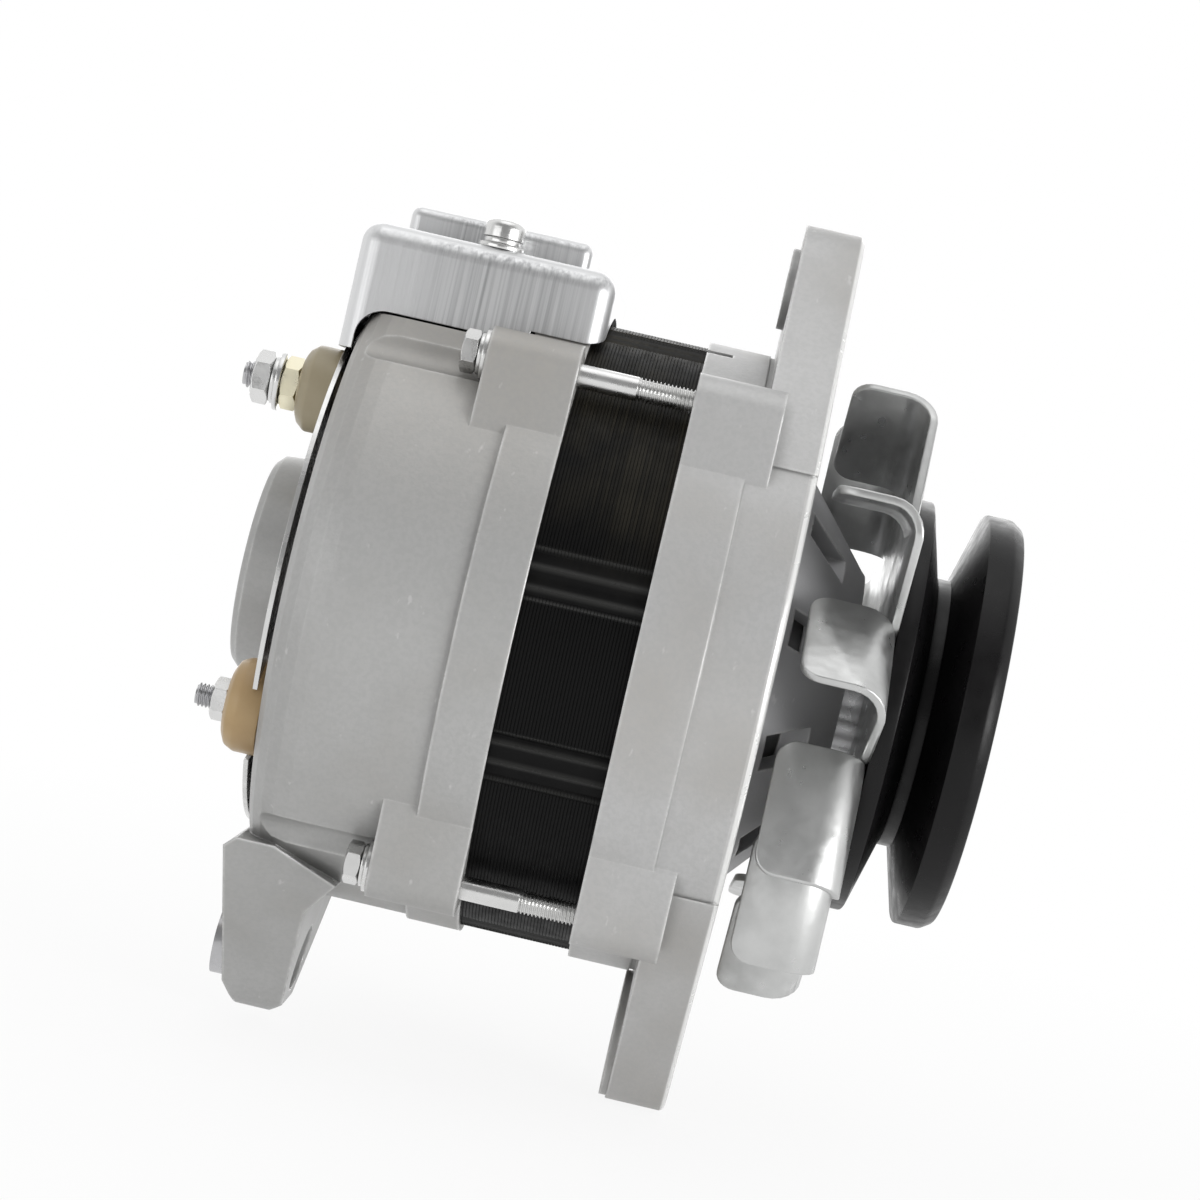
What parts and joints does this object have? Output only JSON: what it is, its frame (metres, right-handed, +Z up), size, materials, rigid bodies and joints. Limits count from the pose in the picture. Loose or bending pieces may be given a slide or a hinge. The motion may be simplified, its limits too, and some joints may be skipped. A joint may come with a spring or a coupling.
{
  "type": "belt-driven alternator",
  "caption": "Belt-driven claw-pole alternator with an open fan, a V pulley, pivot and adjusting ears, a regulator box and rear terminals.",
  "frame": {"origin": "on the shaft's axis, in the middle plane of the pulley's belt groove", "axes": "+X along the shaft to the pulley's front, +Z up to the adjusting ear, +Y away from the side that the picture shows"},
  "size_m": [0.1709, 0.1384, 0.1977],
  "materials": {
    "cast_aluminium": "blasted casting",
    "core_black": "black varnished laminations",
    "copper_wire": "varnished wire",
    "steel": "machined",
    "zinc_plate": "bright zinc plated",
    "pulley_black": "satin black",
    "insulator": "natural nylon",
    "dark_plastic": "moulded",
    "brass": "plated brass",
    "carbon": "pressed carbon"
  },
  "bodies": {
    "housing": {"front_bracket": "cast_aluminium", "rear_bracket": "cast_aluminium", "stator_core": "core_black", "stator_windings": "copper_wire", "through_bolts": "zinc_plate", "bolt_washers": "zinc_plate", "front_bearing_outer": "steel", "rear_bearing_outer": "steel", "bearing_retainer": "zinc_plate", "retainer_screws": "zinc_plate", "pivot_bush": "steel", "rear_end_plate": "zinc_plate", "plate_screws": "zinc_plate", "brush_holder": "dark_plastic", "voltage_regulator": "dark_plastic", "regulator_cover": "zinc_plate", "cover_screws": "zinc_plate", "cover_washers": "zinc_plate", "battery_stud": "steel", "battery_insulator": "insulator", "battery_lower_nut": "brass", "battery_washers": "steel", "battery_nut": "zinc_plate", "field_stud": "steel", "field_insulator": "insulator", "field_nut": "zinc_plate", "positive_heat_sink": "zinc_plate", "negative_heat_sink": "zinc_plate", "positive_diodes": "steel", "negative_diodes": "steel", "front_brush_spring": "steel", "rear_brush_spring": "steel"},
    "rotor": {"rotor_shaft": "steel", "front_claw_pole": "steel", "rear_claw_pole": "steel", "rotor_core": "steel", "coil_bobbin": "dark_plastic", "field_coil": "copper_wire", "slip_rings": "brass", "slip_ring_sleeve": "dark_plastic", "front_bearing_inner": "steel", "rear_bearing_inner": "steel", "fan_collar": "steel", "fan": "zinc_plate", "pulley": "pulley_black", "drive_key": "steel", "pulley_washer": "zinc_plate", "pulley_nut": "zinc_plate"},
    "front_ball_set": {"front_bearing_cage": "brass", "front_bearing_balls": "steel"},
    "rear_ball_set": {"rear_bearing_cage": "brass", "rear_bearing_balls": "steel"},
    "front_brush_block": {"front_brush": "carbon"},
    "rear_brush_block": {"rear_brush": "carbon"}
  },
  "joints": [
    {"name": "rotor_spin", "type": "hinge", "parent": "housing", "child": "rotor", "pos_m": [0, 0, 0], "axis": [1, 0, 0], "continuous": true},
    {"name": "front_ball_spin", "type": "hinge", "parent": "housing", "child": "front_ball_set", "pos_m": [-0.0265, 0, 0], "axis": [1, 0, 0], "continuous": true},
    {"name": "rear_ball_spin", "type": "hinge", "parent": "housing", "child": "rear_ball_set", "pos_m": [-0.138, 0, 0], "axis": [1, 0, 0], "continuous": true},
    {"name": "front_brush_slide", "type": "slide", "parent": "housing", "child": "front_brush_block", "axis": [0, 0, 1], "range_m": [0, 0.005], "stiffness_N_per_m": 150, "springref_m": -0.015, "deforming": ["front_brush_spring"]},
    {"name": "rear_brush_slide", "type": "slide", "parent": "housing", "child": "rear_brush_block", "axis": [0, 0, 1], "range_m": [0, 0.005], "stiffness_N_per_m": 150, "springref_m": -0.015, "deforming": ["rear_brush_spring"]}
  ],
  "couplings": [
    {"joint": "front_ball_spin", "follows": "rotor_spin", "ratio": 0.3656},
    {"joint": "rear_ball_spin", "follows": "rotor_spin", "ratio": 0.3682}
  ]
}
